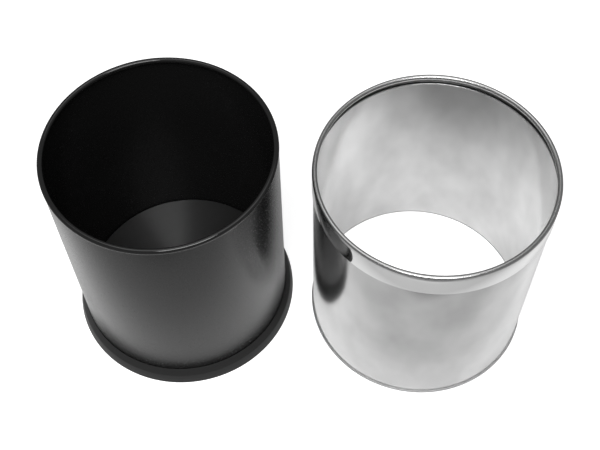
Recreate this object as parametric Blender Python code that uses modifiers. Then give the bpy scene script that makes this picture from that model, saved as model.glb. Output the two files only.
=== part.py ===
"""Two-piece wastebasket: a black steel inner bin on a plastic base ring, and the
stainless sleeve that drops over it, standing beside the bin as when it is emptied.

Run with: blender --background --python part.py
Units are metres, +Z is up. The pair stands on z = 0, side by side along X.
"""
import math

import bpy

# ---- Inner bin: rolled sheet steel ---------------------------------------------------
BIN_RADIUS = 0.1125          # outside of the wall
BIN_HEIGHT = 0.264           # ground to the top of the rim
BIN_SHEET = 0.0008
BIN_BEAD_RADIUS = 0.0027     # outside radius of the tube that the curled rim forms
BIN_BEAD_SWELL = 0.0005      # how far the curl stands out past the wall

# ---- Floor pan: pressed sheet steel ----------------------------------------------------
FLOOR_HEIGHT = 0.010         # ground to the inside floor
FLOOR_SHEET = 0.0008
FLOOR_BEND = 0.0011          # outside radius where the floor turns down into its flange

# ---- Base ring: moulded plastic --------------------------------------------------------
RING_TOP = 0.0183            # ground to the top edge that runs round the wall
RING_LAND = 0.0004           # width of that edge
RING_REACH = 0.0082          # the ring's foot beyond the wall
RING_RIDGE_HEIGHT = 0.0115   # ground to the ridge where slope and skirt meet
RING_RIDGE_INSET = 0.0027    # the ridge in from the foot
RING_RIDGE_ROUND = 0.002
RING_WEB = 0.0025            # plastic under the edge of the bin wall
RING_WALL = 0.002            # skirt, slope and legs
RING_FOOT_ROUND = 0.0005

# ---- Sleeve: stainless tube with a rolled edge at both ends ----------------------------
SLEEVE_SHEET = 0.0006
HEM_RADIUS = 0.0015          # lower edge, rolled outward into a bead
HEM_BULGE = 0.0006           # how far the bead also stands inside the tube
TOP_EDGE_RADIUS = 0.0008     # upper edge, rolled inward

# ---- Rim collar: polished stainless band round the top of the sleeve -------------------
COLLAR_SHEET = 0.00075
COLLAR_BEAD_RADIUS = 0.0025  # outside radius of the tube that its curled rim forms
COLLAR_BAND = 0.0274         # height of the band, its curl included
COLLAR_LAP = 0.0148          # how far the tube reaches up inside the band

# ---- How the pieces fit and stand ------------------------------------------------------
SEAT_GAP = 0.0003            # between pieces that sit against each other
SLEEVE_CLEARANCE = 0.00205   # inside of the sleeve round the bin's curled rim
HEM_CLEARANCE = 0.0011       # hem over the ring's slope when the collar's curl rests on the bin's
STANDING_GAP = 0.0221        # base ring to hem, the two standing side by side

# ---- Facets ----------------------------------------------------------------------------
CURL_END = 285.0             # degrees round a curled rim where its sheet stops
TURN_STEPS = 64              # facets round a turned piece
CURL_STEP = 36.0             # degrees per facet along a curl, at most
BEND_STEP = 45.0             # degrees per facet along a small bend, at most
RIDGE_STEP = 12.0            # degrees per facet along the base ring's ridge, at most
SHARP_ANGLE = math.radians(46)

# ---- What follows from the sizes above -------------------------------------------------
RIM_RADIUS = BIN_RADIUS + BIN_BEAD_SWELL
SLEEVE_INNER = RIM_RADIUS + SLEEVE_CLEARANCE
SLEEVE_RADIUS = SLEEVE_INNER + SLEEVE_SHEET
HEM_OUTER = SLEEVE_INNER - HEM_BULGE + 2 * HEM_RADIUS
COLLAR_RADIUS = SLEEVE_RADIUS + SEAT_GAP + COLLAR_SHEET
RING_RADIUS = BIN_RADIUS + RING_REACH
RING_TOP_RADIUS = BIN_RADIUS + SEAT_GAP + RING_LAND
RING_RIDGE_RADIUS = RING_RADIUS - RING_RIDGE_INSET
SLOPE_ANGLE = math.atan2(RING_RIDGE_RADIUS - RING_TOP_RADIUS, RING_TOP - RING_RIDGE_HEIGHT)
SKIRT_ANGLE = math.atan2(RING_RIDGE_INSET, RING_RIDGE_HEIGHT - RING_FOOT_ROUND)
SHELL_FOOT = RING_WEB + SEAT_GAP
FLOOR_RADIUS = BIN_RADIUS - BIN_SHEET - SEAT_GAP
BIN_CURL = (RIM_RADIUS - BIN_BEAD_RADIUS, BIN_HEIGHT - BIN_BEAD_RADIUS)
CURLS_APART = COLLAR_RADIUS - COLLAR_BEAD_RADIUS - BIN_CURL[0]
CURLS_REACH = COLLAR_BEAD_RADIUS + BIN_BEAD_RADIUS
CURL_RISE = math.sqrt(max(0.0, CURLS_REACH ** 2 - CURLS_APART ** 2))
SEATED_TOP = BIN_CURL[1] + CURL_RISE + COLLAR_BEAD_RADIUS
SLOPE_UNDER_HEM = RING_TOP - (HEM_OUTER - HEM_RADIUS - RING_TOP_RADIUS) / math.tan(SLOPE_ANGLE)
SEATED_HEM = SLOPE_UNDER_HEM + (HEM_RADIUS + HEM_CLEARANCE) / math.sin(SLOPE_ANGLE) - HEM_RADIUS
COLLAR_TOP = SEATED_TOP - SEATED_HEM
COLLAR_FOOT = COLLAR_TOP - COLLAR_BAND
TUBE_TOP = COLLAR_FOOT + COLLAR_LAP
PAIR_WIDTH = 2 * RING_RADIUS + STANDING_GAP + 2 * HEM_OUTER
BIN_X = RING_RADIUS - PAIR_WIDTH / 2
SLEEVE_X = PAIR_WIDTH / 2 - HEM_OUTER


def arc(centre, radius, stops, step):
    """Points on an arc through each of the stops, in degrees from outward, 90 being up."""
    points = []
    for start, end in zip(stops, stops[1:]):
        count = math.ceil(abs(end - start) / step)
        for i in range(count):
            points.append(start + (end - start) * i / count)
    points.append(stops[-1])
    angles = [math.radians(point) for point in points]
    return [(centre[0] + radius * math.cos(a), centre[1] + radius * math.sin(a)) for a in angles]


def angle_at(offset, radius):
    """Degrees from outward where a circle stands the given offset out from its centre."""
    return math.degrees(math.acos(min(1.0, offset / radius)))


def curled_sheet(curl, bead_radius, wall_radius, sheet, foot):
    """Profile of a sheet wall whose top edge curls inward into a bead round the curl's centre."""
    bore = bead_radius - sheet
    wall_inner = wall_radius - sheet
    outer_start = -angle_at(wall_radius - curl[0], bead_radius)
    inner_start = -angle_at(wall_inner - curl[0], bore)
    outside = arc(curl, bead_radius, [CURL_END, 90, 0, outer_start], CURL_STEP)
    inside = arc(curl, bore, [inner_start, CURL_END], BEND_STEP)
    return outside + [(wall_radius, foot), (wall_inner, foot)] + inside


def bin_shell_profile():
    """The bin's wall, from its curled rim down into the base ring."""
    return curled_sheet(BIN_CURL, BIN_BEAD_RADIUS, BIN_RADIUS, BIN_SHEET, SHELL_FOOT)


def bin_floor_profile():
    """Floor pan with a flange turned down inside the wall, from the axis back to the axis."""
    bend = (FLOOR_RADIUS - FLOOR_BEND, FLOOR_HEIGHT - FLOOR_BEND)
    outside = arc(bend, FLOOR_BEND, [90, 0], BEND_STEP)
    inside = arc(bend, FLOOR_BEND - FLOOR_SHEET, [0, 90], BEND_STEP)
    flange = [(FLOOR_RADIUS, SHELL_FOOT), (FLOOR_RADIUS - FLOOR_SHEET, SHELL_FOOT)]
    return [(0, FLOOR_HEIGHT)] + outside + flange + inside + [(0, FLOOR_HEIGHT - FLOOR_SHEET)]


def base_ring_profile():
    """Slope and skirt outside the wall, a slot for wall and flange, a leg under the floor."""
    slot_outer = BIN_RADIUS + SEAT_GAP
    slot_inner = FLOOR_RADIUS - FLOOR_SHEET - SEAT_GAP
    leg_inner = slot_inner - RING_WALL
    leg_top = FLOOR_HEIGHT - FLOOR_BEND
    channel_inner = slot_outer + RING_WALL
    channel_top = RING_RIDGE_HEIGHT - RING_WALL
    half_turn = (SLOPE_ANGLE - SKIRT_ANGLE) / 2
    ridge_reach = RING_RIDGE_ROUND / math.cos(half_turn)
    middle = SKIRT_ANGLE + half_turn
    ridge_centre = (
        RING_RIDGE_RADIUS - ridge_reach * math.cos(middle),
        RING_RIDGE_HEIGHT - ridge_reach * math.sin(middle),
    )

    slope = [(RING_TOP_RADIUS, RING_TOP)]
    stops = [math.degrees(SLOPE_ANGLE), math.degrees(SKIRT_ANGLE)]
    slope += arc(ridge_centre, RING_RIDGE_ROUND, stops, RIDGE_STEP)
    foot = [(RING_RADIUS, RING_FOOT_ROUND), (RING_RADIUS - RING_FOOT_ROUND, 0)]
    channel = [(RING_RADIUS - RING_WALL, 0), (RING_RIDGE_RADIUS - RING_WALL, channel_top)]
    channel += [(channel_inner, channel_top), (channel_inner, 0)]
    leg = [(leg_inner, 0), (leg_inner, leg_top), (slot_inner, leg_top)]
    slot = [(slot_inner, RING_WEB), (slot_outer, RING_WEB), (slot_outer, RING_TOP)]
    return slope + foot + channel + leg + slot


def sleeve_shell_profile():
    """Open tube with its top edge rolled inward and its foot rolled out, as solid beads."""
    top_centre = (SLEEVE_RADIUS - TOP_EDGE_RADIUS, TUBE_TOP - TOP_EDGE_RADIUS)
    top_start = 360 - angle_at(SLEEVE_INNER - top_centre[0], TOP_EDGE_RADIUS)
    hem_centre = (HEM_OUTER - HEM_RADIUS, HEM_RADIUS)
    hem_start = angle_at(SLEEVE_RADIUS - hem_centre[0], HEM_RADIUS)
    hem_end = angle_at(SLEEVE_INNER - hem_centre[0], HEM_RADIUS) - 360
    top = arc(top_centre, TOP_EDGE_RADIUS, [top_start, 180, 90, 0], CURL_STEP)
    return top + arc(hem_centre, HEM_RADIUS, [hem_start, 0, -90, -180, hem_end], CURL_STEP)


def rim_collar_profile():
    """Band round the top of the tube, curled inward above it."""
    curl = (COLLAR_RADIUS - COLLAR_BEAD_RADIUS, COLLAR_TOP - COLLAR_BEAD_RADIUS)
    return curled_sheet(curl, COLLAR_BEAD_RADIUS, COLLAR_RADIUS, COLLAR_SHEET, COLLAR_FOOT)


def material(name, grey, roughness, metallic):
    """A neutral Principled material from its linear grey."""
    made = bpy.data.materials.new(name)
    made.use_nodes = True
    shader = made.node_tree.nodes["Principled BSDF"]
    shader.inputs["Base Color"].default_value = (grey, grey, grey, 1)
    shader.inputs["Roughness"].default_value = roughness
    shader.inputs["Metallic"].default_value = metallic
    made.diffuse_color = (grey, grey, grey, 1)
    return made


def turned(name, profile, stand, finish):
    """A piece turned round its stand's vertical axis from (radius, height) points."""
    edges = [(i, i + 1) for i in range(len(profile) - 1)]
    if profile[0][0] > 0:
        edges.append((len(profile) - 1, 0))
    outline = bpy.data.meshes.new(name + "_profile")
    outline.from_pydata([(radius, 0, height) for radius, height in profile], edges, [])
    outline.materials.append(finish)
    piece = bpy.data.objects.new(name, outline)
    stand.users_collection[0].objects.link(piece)
    piece.parent = stand

    screw = piece.modifiers.new("Turn", "SCREW")
    screw.axis = "Z"
    screw.angle = math.tau
    screw.steps = TURN_STEPS
    screw.render_steps = TURN_STEPS
    screw.use_merge_vertices = True
    screw.merge_threshold = 0.00005
    depsgraph = bpy.context.evaluated_depsgraph_get()
    solid = bpy.data.meshes.new_from_object(piece.evaluated_get(depsgraph))
    piece.modifiers.clear()
    piece.data = solid
    solid.name = name
    solid.shade_smooth()
    solid.set_sharp_from_angle(angle=SHARP_ANGLE)
    bpy.data.meshes.remove(outline)
    return piece


def stand_at(name, x, collection):
    """Empty on the ground, on the axis of the pieces it carries."""
    stand = bpy.data.objects.new(name, None)
    stand.empty_display_size = BIN_RADIUS
    stand.location = (x, 0, 0)
    collection.objects.link(stand)
    return stand


def build_bin(collection):
    stand = stand_at("bin_stand", BIN_X, collection)
    powder_coat = material("black powder coat on steel", 0.012, 0.35, 0)
    plastic = material("black moulded plastic", 0.02, 0.45, 0)
    turned("bin_shell", bin_shell_profile(), stand, powder_coat)
    turned("bin_floor", bin_floor_profile(), stand, powder_coat)
    turned("base_ring", base_ring_profile(), stand, plastic)


def build_sleeve(collection):
    stand = stand_at("sleeve_lift", SLEEVE_X, collection)
    satin = material("satin stainless steel", 0.62, 0.22, 1)
    polished = material("polished stainless steel", 0.68, 0.08, 1)
    turned("sleeve_shell", sleeve_shell_profile(), stand, satin)
    turned("rim_collar", rim_collar_profile(), stand, polished)


def main():
    for old in list(bpy.data.objects):
        bpy.data.objects.remove(old)
    collection = bpy.data.collections.new("wastebasket")
    bpy.context.scene.collection.children.link(collection)
    build_bin(collection)
    build_sleeve(collection)


main()
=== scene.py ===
"""Dresses the two-piece wastebasket: black powder-coated inner bin on its plastic base
ring, and the polished stainless sleeve standing beside it. Metres, +Z up."""
import math

import bmesh
import bpy
from mathutils import Matrix, Vector


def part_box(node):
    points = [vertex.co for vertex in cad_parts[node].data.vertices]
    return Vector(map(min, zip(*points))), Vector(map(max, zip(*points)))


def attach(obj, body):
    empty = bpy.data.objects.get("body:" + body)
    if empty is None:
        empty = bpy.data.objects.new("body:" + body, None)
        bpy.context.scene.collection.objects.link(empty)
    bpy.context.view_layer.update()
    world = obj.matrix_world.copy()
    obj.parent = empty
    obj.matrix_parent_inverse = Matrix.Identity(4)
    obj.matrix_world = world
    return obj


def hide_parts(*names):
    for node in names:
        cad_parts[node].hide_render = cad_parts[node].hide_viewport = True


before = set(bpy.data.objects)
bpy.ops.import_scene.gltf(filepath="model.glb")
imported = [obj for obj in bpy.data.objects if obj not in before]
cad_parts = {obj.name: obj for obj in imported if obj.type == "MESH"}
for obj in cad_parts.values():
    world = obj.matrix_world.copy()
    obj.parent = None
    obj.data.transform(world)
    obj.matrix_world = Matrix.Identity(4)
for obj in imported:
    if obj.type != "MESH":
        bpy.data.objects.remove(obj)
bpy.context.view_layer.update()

MM = 0.001

# ---- Where the two parts stand, read from the frame --------------------------------------
SHELL_LOW, SHELL_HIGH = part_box("bin_shell")
RING_LOW, RING_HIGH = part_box("base_ring")
FLOOR_LOW, FLOOR_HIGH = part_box("bin_floor")
TUBE_LOW, TUBE_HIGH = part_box("sleeve_shell")
COLLAR_LOW, COLLAR_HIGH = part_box("rim_collar")
BIN_AXIS = Vector(((RING_LOW.x + RING_HIGH.x) / 2, 0, 0))
SLEEVE_AXIS = Vector(((TUBE_LOW.x + TUBE_HIGH.x) / 2, 0, 0))

# ---- Sizes of the turned pieces, matching the frame --------------------------------------
BIN_SHEET = 0.8 * MM
BIN_BEAD_RADIUS = 2.7 * MM
BIN_BEAD_SWELL = 0.5 * MM
FLOOR_SHEET = 0.8 * MM
FLOOR_BEND = 1.1 * MM
RING_LAND = 0.4 * MM
RING_RIDGE_HEIGHT = 11.5 * MM
RING_RIDGE_INSET = 2.7 * MM
RING_RIDGE_ROUND = 2.0 * MM
RING_WEB = 2.5 * MM
RING_WALL = 2.0 * MM
RING_FOOT_ROUND = 0.5 * MM
SLEEVE_SHEET = 0.6 * MM
HEM_RADIUS = 1.5 * MM
HEM_BULGE = 0.6 * MM         # how far the hem's bead also stands inside the tube
TOP_EDGE_RADIUS = 0.8 * MM
TOP_EDGE_WORKED = 1.2 * MM   # height of the tube's top edge that rolling left duller
COLLAR_SHEET = 0.75 * MM
COLLAR_BEAD_RADIUS = 2.5 * MM
SEAT_GAP = 0.3 * MM          # left between pieces that are pressed or welded together
CURL_END = 285.0             # where a curled rim's section ends, in degrees from outward

# ---- How finely the pieces are turned ----------------------------------------------------
TURN_STEPS = 256             # flats round a piece
ARC_STEP = 10.0              # degrees between the points of a section's arcs
ROUND_STEP = 15.0            # of its small or hidden arcs
DEBURR_STEP = 30.0           # of a deburred edge
RIDGE_STEP = 3.0             # of the ring's soft ridge
WELD_DISTANCE = 0.002 * MM   # points nearer than this become one
SHARP_ANGLE = 30.0           # edges bent more than this, in degrees, stay sharp

RIM_RADIUS = (SHELL_HIGH.x - SHELL_LOW.x) / 2
BIN_RADIUS = RIM_RADIUS - BIN_BEAD_SWELL
FLOOR_RADIUS = BIN_RADIUS - BIN_SHEET - SEAT_GAP
RING_RADIUS = (RING_HIGH.x - RING_LOW.x) / 2
RING_TOP = RING_HIGH.z
RING_TOP_RADIUS = BIN_RADIUS + SEAT_GAP + RING_LAND
RING_RIDGE_RADIUS = RING_RADIUS - RING_RIDGE_INSET
HEM_OUTER = (TUBE_HIGH.x - TUBE_LOW.x) / 2
SLEEVE_INNER = HEM_OUTER + HEM_BULGE - 2 * HEM_RADIUS
SLEEVE_RADIUS = SLEEVE_INNER + SLEEVE_SHEET
COLLAR_RADIUS = (COLLAR_HIGH.x - COLLAR_LOW.x) / 2


# ---- Profiles in the radius-height plane -------------------------------------------------
def arc(centre, radius, stops, step=ARC_STEP):
    """Points on an arc through each of the stops, in degrees from outward, 90 being up."""
    points = []
    for start, end in zip(stops, stops[1:]):
        count = math.ceil(abs(end - start) / step)
        for i in range(count):
            points.append(start + (end - start) * i / count)
    points.append(stops[-1])
    angles = [math.radians(point) for point in points]
    x, z = centre
    return [(x + radius * math.cos(angle), z + radius * math.sin(angle)) for angle in angles]


def angle_at(offset, radius):
    """Degrees from outward at which a circle is this far outward of its centre."""
    return math.degrees(math.acos(min(1.0, offset / radius)))


def curled_sheet(wall_radius, sheet, bead_radius, swell, top, bottom):
    """A sheet wall whose top edge curls inward into a bead, its foot edge deburred."""
    centre = (wall_radius + swell - bead_radius, top - bead_radius)
    bore = bead_radius - sheet
    outer_start = -angle_at(wall_radius - centre[0], bead_radius)
    inner_start = -angle_at(wall_radius - sheet - centre[0], bore)
    outside = arc(centre, bead_radius, [CURL_END, 90, 0, outer_start])
    inside = arc(centre, bore, [inner_start, CURL_END], ROUND_STEP)
    edge = sheet / 3
    foot = arc((wall_radius - edge, bottom + edge), edge, [0, -90], DEBURR_STEP)
    foot += arc((wall_radius - sheet + edge, bottom + edge), edge, [-90, -180], DEBURR_STEP)
    return outside + foot + inside


def bin_floor_profile():
    """Flat pan with a flange bent down all round."""
    bend = (FLOOR_RADIUS - FLOOR_BEND, FLOOR_HIGH.z - FLOOR_BEND)
    outside = arc(bend, FLOOR_BEND, [90, 0])
    inside = arc(bend, FLOOR_BEND - FLOOR_SHEET, [0, 90], ROUND_STEP)
    flange = [(FLOOR_RADIUS, FLOOR_LOW.z), (FLOOR_RADIUS - FLOOR_SHEET, FLOOR_LOW.z)]
    return [(0, FLOOR_HIGH.z)] + outside + flange + inside + [(0, FLOOR_HIGH.z - FLOOR_SHEET)]


def base_ring_profile():
    """Slope and skirt that meet in a soft ridge, a slot for the wall, a leg under the floor."""
    slot_outer = BIN_RADIUS + SEAT_GAP
    slot_inner = FLOOR_RADIUS - FLOOR_SHEET - SEAT_GAP
    leg_inner = slot_inner - RING_WALL
    leg_top = FLOOR_HIGH.z - FLOOR_BEND
    channel_inner = slot_outer + RING_WALL
    channel_top = RING_RIDGE_HEIGHT - RING_WALL
    slope_angle = math.atan2(RING_RIDGE_RADIUS - RING_TOP_RADIUS, RING_TOP - RING_RIDGE_HEIGHT)
    skirt_angle = math.atan2(RING_RIDGE_INSET, RING_RIDGE_HEIGHT - RING_FOOT_ROUND)
    half_turn = (slope_angle - skirt_angle) / 2
    ridge_reach = RING_RIDGE_ROUND / math.cos(half_turn)
    middle = skirt_angle + half_turn
    ridge_centre = (
        RING_RIDGE_RADIUS - ridge_reach * math.cos(middle),
        RING_RIDGE_HEIGHT - ridge_reach * math.sin(middle),
    )
    foot_centre = (RING_RADIUS - RING_FOOT_ROUND, RING_FOOT_ROUND)

    slope_stop, skirt_stop = math.degrees(slope_angle), math.degrees(skirt_angle)
    top = arc((slot_outer, RING_TOP - RING_LAND), RING_LAND, [90, slope_stop], ROUND_STEP)
    ridge = arc(ridge_centre, RING_RIDGE_ROUND, [slope_stop, skirt_stop], RIDGE_STEP)
    foot = arc(foot_centre, RING_FOOT_ROUND, [0, -90], ROUND_STEP)
    channel = [(RING_RADIUS - RING_WALL, 0), (RING_RIDGE_RADIUS - RING_WALL, channel_top)]
    channel += [(channel_inner, channel_top), (channel_inner, 0)]
    leg = [(leg_inner, 0), (leg_inner, leg_top), (slot_inner, leg_top)]
    slot = [(slot_inner, RING_WEB), (slot_outer, RING_WEB)]
    return top + ridge + foot + channel + leg + slot


def sleeve_shell_profile():
    """Open tube, its top edge rolled inward and its foot rolled out into a beaded hem."""
    top_centre = (SLEEVE_RADIUS - TOP_EDGE_RADIUS, TUBE_HIGH.z - TOP_EDGE_RADIUS)
    top_start = 360 - angle_at(SLEEVE_INNER - top_centre[0], TOP_EDGE_RADIUS)
    hem_centre = (HEM_OUTER - HEM_RADIUS, HEM_RADIUS)
    hem_start = angle_at(SLEEVE_RADIUS - hem_centre[0], HEM_RADIUS)
    hem_end = angle_at(SLEEVE_INNER - hem_centre[0], HEM_RADIUS) - 360
    top = arc(top_centre, TOP_EDGE_RADIUS, [top_start, 180, 90, 0], ROUND_STEP)
    hem = arc(hem_centre, HEM_RADIUS, [hem_start, 0, -90, -180, hem_end], ROUND_STEP)
    return top + hem


def turned(name, profile, axis, node, body, finish):
    """Spins a profile once round a vertical axis and puts the piece in place of its node."""
    mesh = bmesh.new()
    ring = [mesh.verts.new((radius, 0, height)) for radius, height in profile]
    edges = [mesh.edges.new(pair) for pair in zip(ring, ring[1:])]
    if profile[0][0] > 0:
        edges.append(mesh.edges.new((ring[-1], ring[0])))
    bmesh.ops.spin(
        mesh, geom=ring + edges, cent=(0, 0, 0), axis=(0, 0, 1),
        angle=math.tau, steps=TURN_STEPS, use_merge=True,
    )
    bmesh.ops.remove_doubles(mesh, verts=mesh.verts, dist=WELD_DISTANCE)
    bmesh.ops.recalc_face_normals(mesh, faces=mesh.faces)
    bmesh.ops.translate(mesh, verts=mesh.verts, vec=axis)
    data = bpy.data.meshes.new(name)
    mesh.to_mesh(data)
    mesh.free()
    data.materials.append(finish)
    data.shade_smooth()
    data.set_sharp_from_angle(angle=math.radians(SHARP_ANGLE))
    piece = bpy.data.objects.new(name, data)
    bpy.context.scene.collection.objects.link(piece)
    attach(piece, body)
    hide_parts(node)
    return piece


def refinish(piece, finish, chosen):
    """Gives a piece's chosen faces a second finish."""
    piece.data.materials.append(finish)
    for face in piece.data.polygons:
        if chosen(face):
            face.material_index = 1


# ---- Materials ---------------------------------------------------------------------------
NOISE_LOW, NOISE_HIGH = 0.3, 0.7     # nearly all values of a noise texture lie between these


def linear(hex_colour):
    """sRGB hex to a linear RGBA colour."""
    channels = [int(hex_colour[i:i + 2], 16) / 255 for i in (1, 3, 5)]
    return [c / 12.92 if c <= 0.04045 else ((c + 0.055) / 1.055) ** 2.4 for c in channels] + [1.0]


def add_node(tree, kind, settings=None, **links):
    """Adds a node, sets its properties and inputs, and links inputs given as sockets. An
    input is named, or numbered as i0, i1 and so on."""
    node = tree.nodes.new(kind)
    for key, value in (settings or {}).items():
        setattr(node, key, value)
    for key, value in links.items():
        numbered = key[0] == "i" and key[1:].isdigit()
        socket = node.inputs[int(key[1:]) if numbered else key]
        if isinstance(value, bpy.types.NodeSocket):
            tree.links.new(value, socket)
        else:
            socket.default_value = value
    return node


def new_material(name):
    made = bpy.data.materials.new(name)
    made.use_nodes = True
    return made, made.node_tree, made.node_tree.nodes["Principled BSDF"]


def object_place(tree):
    return add_node(tree, "ShaderNodeTexCoord").outputs["Object"]


def noise(tree, place, size, detail=2.0):
    """Noise with patches of about this size."""
    made = add_node(tree, "ShaderNodeTexNoise", i0=place, Scale=1 / size, Detail=detail)
    return made.outputs[0]


def ramp(tree, value, start, end, low=0.0, high=1.0):
    """Runs from low to high while the value runs from start to end."""
    made = add_node(tree, "ShaderNodeMapRange", i0=value, i1=start, i2=end, i3=low, i4=high)
    return made.outputs[0]


def blend(tree, share, first, second):
    """Mixes two colours, of which the second takes this share."""
    made = add_node(tree, "ShaderNodeMix", {"data_type": "RGBA"}, i0=share, i6=first, i7=second)
    return made.outputs[2]


def bump(tree, shader, height, depth, strength):
    made = add_node(tree, "ShaderNodeBump", Height=height, Distance=depth, Strength=strength)
    tree.links.new(made.outputs[0], shader.inputs["Normal"])


def stainless(name, colours, roughness, wave_height, edge_roughness, edge_from):
    """Polished stainless sheet. The mirror is bent by slow waves left by rolling, and
    clouded by patches a shade lighter or darker, so what it reflects looks soft and
    blotchy. The rolled top edge, worked after polishing, is duller."""
    wave_length, cloud_size, edge_blend = 90 * MM, 35 * MM, 0.5 * MM
    upright = (1.0, 1.0, 0.6)    # makes both patterns taller than wide
    made, tree, shader = new_material(name)
    shader.inputs["Metallic"].default_value = 1.0
    place = object_place(tree)
    tall = add_node(tree, "ShaderNodeMapping", i0=place, i3=upright).outputs[0]
    clouds = ramp(tree, noise(tree, tall, cloud_size), NOISE_LOW, NOISE_HIGH)
    shade = blend(tree, clouds, linear(colours[0]), linear(colours[1]))
    tree.links.new(shade, shader.inputs["Base Color"])
    height = add_node(tree, "ShaderNodeSeparateXYZ", i0=place).outputs["Z"]
    rough = ramp(tree, height, edge_from, edge_from + edge_blend, roughness, edge_roughness)
    tree.links.new(rough, shader.inputs["Roughness"])
    waves = noise(tree, tall, wave_length, detail=1.0)
    bump(tree, shader, waves, wave_height, strength=1.0)
    return made


def dull_stainless(name, colour, roughness):
    """Stainless that was never polished, or was rubbed dull when it was rolled: it shows a
    sheen but no image."""
    grain_size, roughness_spread = 3 * MM, 0.08
    made, tree, shader = new_material(name)
    shader.inputs["Metallic"].default_value = 1.0
    shader.inputs["Base Color"].default_value = linear(colour)
    grain = noise(tree, object_place(tree), grain_size)
    rough = ramp(tree, grain, NOISE_LOW, NOISE_HIGH, roughness, roughness + roughness_spread)
    tree.links.new(rough, shader.inputs["Roughness"])
    return made


def spun_coat(name):
    """Black coat on a floor pan spun in a lathe: the fine rings under the coat stretch the
    light into one soft ray across the pan."""
    mottle_size, smooth, coarse = 8 * MM, 0.42, 0.5
    made, tree, shader = new_material(name)
    shader.inputs["Base Color"].default_value = linear("#1C1C1C")
    shader.inputs["IOR"].default_value = 1.5
    shader.inputs["Specular IOR Level"].default_value = 1.0
    shader.inputs["Anisotropic"].default_value = 1.0
    shader.inputs["Anisotropic Rotation"].default_value = 0.25
    around = add_node(tree, "ShaderNodeTangent", {"direction_type": "RADIAL", "axis": "Z"})
    tree.links.new(around.outputs[0], shader.inputs["Tangent"])
    mottle = noise(tree, object_place(tree), mottle_size, detail=3.0)
    rough = ramp(tree, mottle, NOISE_LOW, NOISE_HIGH, smooth, coarse)
    tree.links.new(rough, shader.inputs["Roughness"])
    return made


def powder_coat(name, curl_from):
    """Black polyester powder coat on steel: satin, with a faint orange peel. It flows
    together over the curled rim and is glossier there."""
    peel_size, peel_depth, curl_blend = 1.5 * MM, 0.02 * MM, 1 * MM
    smooth, coarse, curl_roughness = 0.22, 0.28, 0.07
    wall_sheen, curl_sheen = 0.37, 0.8
    made, tree, shader = new_material(name)
    shader.inputs["Base Color"].default_value = linear("#161616")
    shader.inputs["IOR"].default_value = 1.5
    place = object_place(tree)
    peel = noise(tree, place, peel_size)
    satin = ramp(tree, peel, NOISE_LOW, NOISE_HIGH, smooth, coarse)
    height = add_node(tree, "ShaderNodeSeparateXYZ", i0=place).outputs["Z"]
    curl_end = curl_from + curl_blend
    rough = ramp(tree, height, curl_from, curl_end, satin, curl_roughness)
    tree.links.new(rough, shader.inputs["Roughness"])
    sheen = ramp(tree, height, curl_from, curl_end, wall_sheen, curl_sheen)
    tree.links.new(sheen, shader.inputs["Specular IOR Level"])
    bump(tree, shader, peel, peel_depth, strength=0.5)
    return made


def moulded_plastic(name):
    """Black moulded polypropylene with the fine spark texture of its mould: matt, and a
    shade lighter than the coat."""
    spark_size, spark_depth, smooth, coarse = 0.6 * MM, 0.03 * MM, 0.42, 0.52
    made, tree, shader = new_material(name)
    shader.inputs["Base Color"].default_value = linear("#2B2B2B")
    shader.inputs["IOR"].default_value = 1.49
    shader.inputs["Specular IOR Level"].default_value = 0.2
    spark = noise(tree, object_place(tree), spark_size)
    rough = ramp(tree, spark, NOISE_LOW, NOISE_HIGH, smooth, coarse)
    tree.links.new(rough, shader.inputs["Roughness"])
    bump(tree, shader, spark, spark_depth, strength=0.5)
    return made


# ---- The two parts -----------------------------------------------------------------------
FACING_INWARD = 0.9          # how squarely a face looks at the axis, 1 being straight at it


def make_bin():
    coat = powder_coat("black powder coat", SHELL_HIGH.z - 2 * BIN_BEAD_RADIUS)
    spun = spun_coat("black coat on spun steel")
    plastic = moulded_plastic("black moulded polypropylene")
    shell = curled_sheet(
        BIN_RADIUS, BIN_SHEET, BIN_BEAD_RADIUS, BIN_BEAD_SWELL, SHELL_HIGH.z, SHELL_LOW.z
    )
    turned("bin_shell_rolled", shell, BIN_AXIS, "bin_shell", "bin", coat)
    turned("bin_floor_spun", bin_floor_profile(), BIN_AXIS, "bin_floor", "bin", spun)
    turned("base_ring_moulded", base_ring_profile(), BIN_AXIS, "base_ring", "bin", plastic)


def make_sleeve():
    """The tube has a dull hem at its foot. The band is bright outside; inside, below its curl,
    it has a darker mill finish that also stands in as painted shade under the curl."""
    curl_from = COLLAR_HIGH.z - 2 * COLLAR_BEAD_RADIUS
    satin = stainless(
        "polished stainless sheet", ("#CCCCCC", "#E0E0E0"), roughness=0.17,
        wave_height=2.5 * MM, edge_roughness=0.25, edge_from=TUBE_HIGH.z - TOP_EDGE_WORKED,
    )
    bright = stainless(
        "bright stainless band", ("#E0E0E0", "#E6E6E6"), roughness=0.06,
        wave_height=0.4 * MM, edge_roughness=0.25, edge_from=curl_from,
    )
    rolled = dull_stainless("dull rolled hem", "#F0F0F0", roughness=0.6)
    # mill finish, darkened with painted shade for the inside of the band under its curl
    mill_and_shade = dull_stainless("mill finish stainless", "#8C8C8C", roughness=0.28)

    tube = turned(
        "sleeve_shell_rolled", sleeve_shell_profile(), SLEEVE_AXIS, "sleeve_shell", "sleeve", satin
    )
    refinish(tube, rolled, lambda face: face.center.z < 2 * HEM_RADIUS)
    collar = curled_sheet(
        COLLAR_RADIUS, COLLAR_SHEET, COLLAR_BEAD_RADIUS, 0, COLLAR_HIGH.z, COLLAR_LOW.z
    )
    band = turned("rim_collar_curled", collar, SLEEVE_AXIS, "rim_collar", "sleeve", bright)
    inner_radius = COLLAR_RADIUS - COLLAR_SHEET

    def on_inside(face):
        inward = -face.normal.dot(face.center - SLEEVE_AXIS)
        return inward > FACING_INWARD * inner_radius and face.center.z < curl_from

    # the inside below the curl: partly real mill finish, partly painted shade
    refinish(band, mill_and_shade, on_inside)


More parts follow.
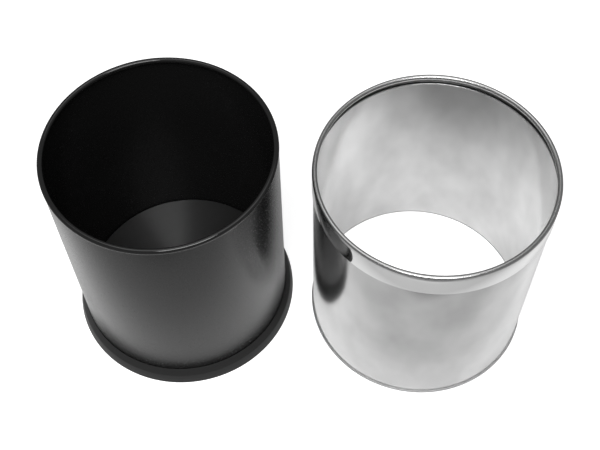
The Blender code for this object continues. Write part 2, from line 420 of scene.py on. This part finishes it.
# ---- Floor, light and camera -------------------------------------------------------------
FLOOR_SIZE = 12.0
PAPER = "#E6E6E6"            # the paper as the eye sees it
FLOOR_LIFT = 0.9             # added to the lit paper where the camera sees it
FLOOR_LIFT_IN_METAL = 0.12   # added where a polished surface mirrors it

# What the metal mirrors is painted light and shade: a white sheet of painted light round the
# object, painted greyer toward its front edge, with floor past it painted dim and paler far away.
# Distances are from the origin.
SHEET_REACH, SHEET_FADE = 0.45, 0.1  # where the sheet ends, and by how much either way it fades
SHEET_FROM, SHEET_TO = -0.3, 0.1     # stretch of y over which the sheet's tone changes
# the sheet's tones are painted light and shade, greyer toward its front
SHEET_LIGHT_AND_SHADE = (                      # its tone at some places along that stretch
    (-0.287, "#484848"), (-0.272, "#CACACA"), (-0.25, "#BEBEBE"), (-0.18, "#BEBEBE"),
    (-0.12, "#DCDCDC"), (-0.02, "#FFFFFF"),
)
# painted shade: the floor past the sheet is painted dim, and paler far away
PAINTED_DIM_FLOOR, PAINTED_PALE_FLOOR = "#646464", "#B4B4B4"
PALE_FROM, PALE_TO = 0.7, 1.1        # distances between which the dim floor turns paler

STUDIO_LEVEL = 0.15          # how brightly the studio's walls light the object
BACKDROP_LEVEL = 1.0         # how bright they are where the camera sees them
LIGHTS_AIM = Vector((0, 0, 0.1))


def seen_directly(tree, rays):
    """1 where the camera sees a thing, also through glass."""
    made = add_node(tree, "ShaderNodeMath", {"operation": "MAXIMUM"},
                    i0=rays.outputs["Is Camera Ray"], i1=rays.outputs["Is Transmission Ray"])
    return made.outputs[0]


def mirrored_painted_light(tree):
    """The floor as polished metal mirrors it: painted light and shade, not the paper's own colour.
    """
    place = object_place(tree)
    depth = add_node(tree, "ShaderNodeSeparateXYZ", i0=place).outputs["Y"]
    # painted light and shade along y, seen only in the metal
    tones = add_node(tree, "ShaderNodeValToRGB", i0=ramp(tree, depth, SHEET_FROM, SHEET_TO))
    stops = tones.color_ramp.elements
    while len(stops) < len(SHEET_LIGHT_AND_SHADE):
        stops.new(0.5)
    for stop, (y, colour) in zip(stops, SHEET_LIGHT_AND_SHADE):
        stop.position = (y - SHEET_FROM) / (SHEET_TO - SHEET_FROM)
        stop.color = linear(colour)
    length = add_node(tree, "ShaderNodeVectorMath", {"operation": "LENGTH"}, i0=place)
    away = length.outputs["Value"]
    paleness = ramp(tree, away, PALE_FROM, PALE_TO)
    around = blend(tree, paleness, linear(PAINTED_DIM_FLOOR), linear(PAINTED_PALE_FLOOR))
    on_sheet = ramp(tree, away, SHEET_REACH + SHEET_FADE, SHEET_REACH - SHEET_FADE)
    return blend(tree, on_sheet, around, tones.outputs["Color"])


def paper_floor(name):
    """Matt pale paper. The eye sees it lifted to white, with the object's shadow on it. The
    metal sees a sheet of painted light instead, which ends 16 cm in front of the object."""
    made, tree, shader = new_material(name)
    shader.inputs["Roughness"].default_value = 0.9
    shader.inputs["Specular IOR Level"].default_value = 0.0
    rays = add_node(tree, "ShaderNodeLightPath")
    straight = seen_directly(tree, rays)
    # the eye sees the plain paper; the metal sees the painted light and shade
    colour = blend(tree, straight, mirrored_painted_light(tree), linear(PAPER))
    tree.links.new(colour, shader.inputs["Base Color"])
    tree.links.new(colour, shader.inputs["Emission Color"])
    in_metal = add_node(tree, "ShaderNodeMath", {"operation": "MULTIPLY"},
                        i0=rays.outputs["Is Glossy Ray"], i1=FLOOR_LIFT_IN_METAL)
    lift = add_node(tree, "ShaderNodeMath", {"operation": "MULTIPLY_ADD"},
                    i0=straight, i1=FLOOR_LIFT, i2=in_metal.outputs[0])
    tree.links.new(lift.outputs[0], shader.inputs["Emission Strength"])
    return made


def make_floor():
    mesh = bmesh.new()
    bmesh.ops.create_grid(mesh, x_segments=1, y_segments=1, size=FLOOR_SIZE / 2)
    data = bpy.data.meshes.new("studio_floor")
    mesh.to_mesh(data)
    mesh.free()
    data.materials.append(paper_floor("white paper floor"))
    floor = bpy.data.objects.new("studio_floor", data)
    bpy.context.scene.collection.objects.link(floor)


def area_light(name, place, size, watts, mirrored=True):
    """A rectangular lamp aimed at the object. Only a mirrored one shows in what is glossy."""
    lamp = bpy.data.lights.new(name, "AREA")
    lamp.shape = "RECTANGLE"
    lamp.size, lamp.size_y = size
    lamp.energy = watts
    holder = bpy.data.objects.new(name, lamp)
    holder.location = place
    holder.rotation_euler = (LIGHTS_AIM - Vector(place)).to_track_quat("-Z", "Y").to_euler()
    holder.visible_glossy = mirrored
    bpy.context.scene.collection.objects.link(holder)


def make_light():
    """A softbox and a broad fill high in front and a weak ceiling bounce, in a dim studio."""
    area_light("front_softbox", (0.18, -0.62, 1.5), size=(0.75, 0.5), watts=6.2)
    area_light("front_fill", (-0.3, -0.62, 1.5), size=(1.2, 0.7), watts=19, mirrored=False)
    area_light("ceiling_bounce", (-0.1, 0.35, 2.0), size=(1.6, 1.2), watts=5)
    world = bpy.data.worlds.new("dim studio")
    world.use_nodes = True
    bpy.context.scene.world = world
    tree = world.node_tree
    sky = tree.nodes["Background"]
    sky.inputs["Color"].default_value = (1, 1, 1, 1)
    straight = seen_directly(tree, add_node(tree, "ShaderNodeLightPath"))
    level = ramp(tree, straight, 0.0, 1.0, STUDIO_LEVEL, BACKDROP_LEVEL)
    tree.links.new(level, sky.inputs["Strength"])


# The camera stands in front, looking steeply down on both mouths.
CAMERA_FROM_BIN = Vector((0.17863, -0.55896, 1.03502))
CAMERA_TILT = 57.876         # degrees below level
CAMERA_TURN = 4.877          # degrees left of straight ahead
CAMERA_ROLL = -1.387         # degrees
FOCAL_LENGTH = 61.69         # millimetres
SENSOR_WIDTH = 36            # millimetres
NEAREST_SEEN = 0.01


def make_camera():
    lens = bpy.data.cameras.new("camera")
    lens.lens = FOCAL_LENGTH
    lens.sensor_width = SENSOR_WIDTH
    lens.clip_start = NEAREST_SEEN
    camera = bpy.data.objects.new("camera", lens)
    turn = Matrix.Rotation(math.radians(CAMERA_TURN), 4, "Z")
    tilt = Matrix.Rotation(math.radians(90 - CAMERA_TILT), 4, "X")
    roll = Matrix.Rotation(math.radians(CAMERA_ROLL), 4, "Z")
    camera.matrix_world = Matrix.Translation(BIN_AXIS + CAMERA_FROM_BIN) @ turn @ tilt @ roll
    bpy.context.scene.collection.objects.link(camera)
    bpy.context.scene.camera = camera


make_bin()
make_sleeve()
make_floor()
make_light()
make_camera()
bpy.context.scene.view_settings.view_transform = "Standard"
